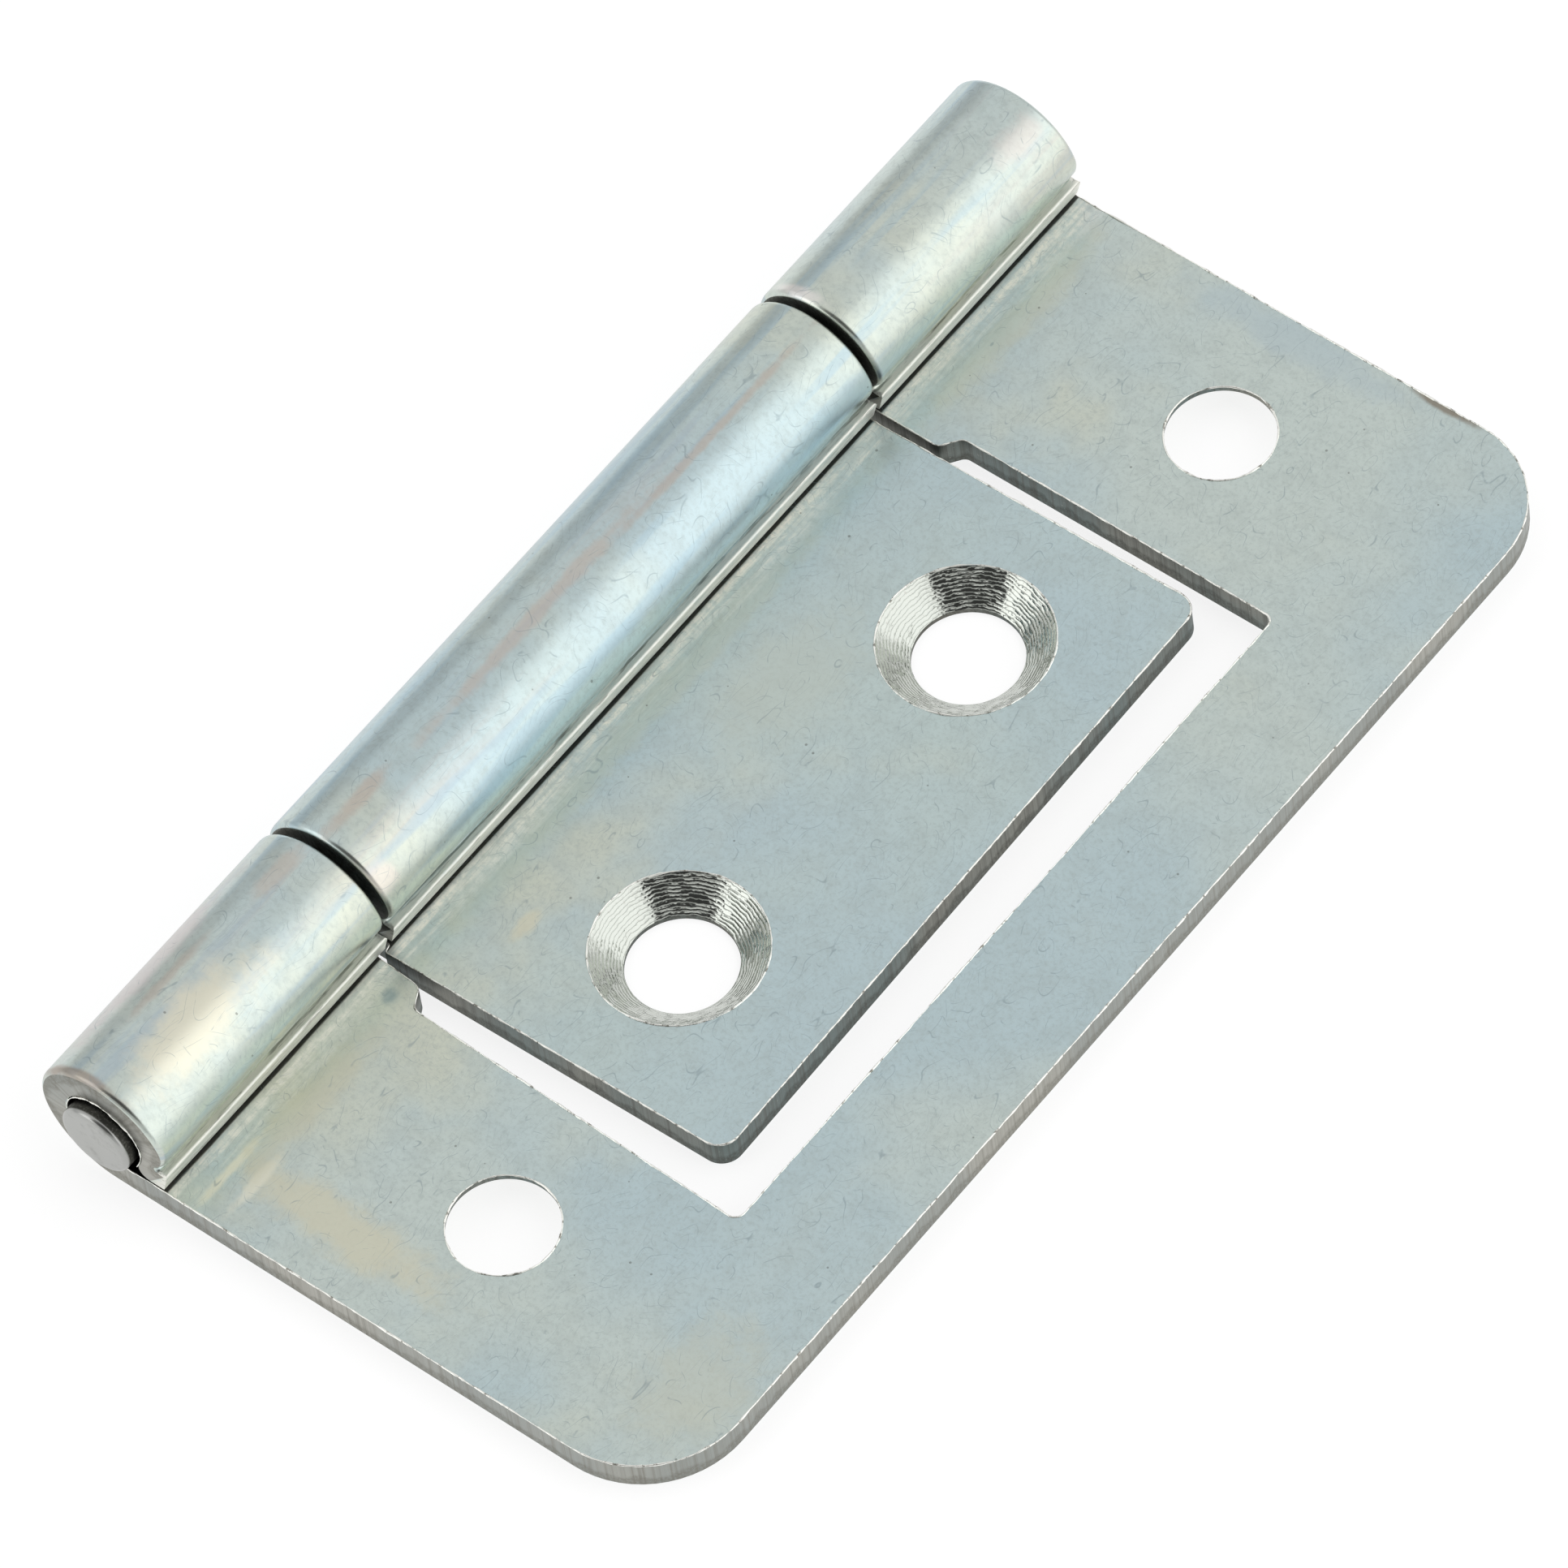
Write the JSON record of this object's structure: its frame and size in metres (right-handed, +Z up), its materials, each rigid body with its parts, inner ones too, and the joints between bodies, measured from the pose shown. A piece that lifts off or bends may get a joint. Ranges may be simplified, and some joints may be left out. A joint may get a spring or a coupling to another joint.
{
  "type": "flush hinge",
  "caption": "Flush hinge in zinc-plated steel: a frame leaf with a window, a countersunk flap leaf that nests in it, and rolled knuckles on a plain pin.",
  "frame": {"origin": "middle of the hinge's footprint, in the plane of the undersides of both leaves", "axes": "+X from the pin to the free edges of the leaves, +Y along the pin, +Z up, the side on which the barrel stands"},
  "size_m": [0.0336, 0.0642, 0.007],
  "materials": {
    "frame_leaf_zinc": "bright zinc plate with a faint yellow and blue passivation tint",
    "flap_leaf_zinc": "bright zinc plate with a faint blue passivation tint",
    "pin_steel": "drawn steel, sheared ends"
  },
  "bodies": {
    "frame_leaf": {"outer_leaf": "frame_leaf_zinc", "hinge_pin": "pin_steel"},
    "flap_leaf": {"inner_leaf": "flap_leaf_zinc"}
  },
  "joints": [
    {"name": "flap_swing", "type": "hinge", "parent": "frame_leaf", "child": "flap_leaf", "pos_m": [-0.01325, 0, 0.0035], "axis": [0, 1, 0], "range_deg": [0, 270]}
  ]
}
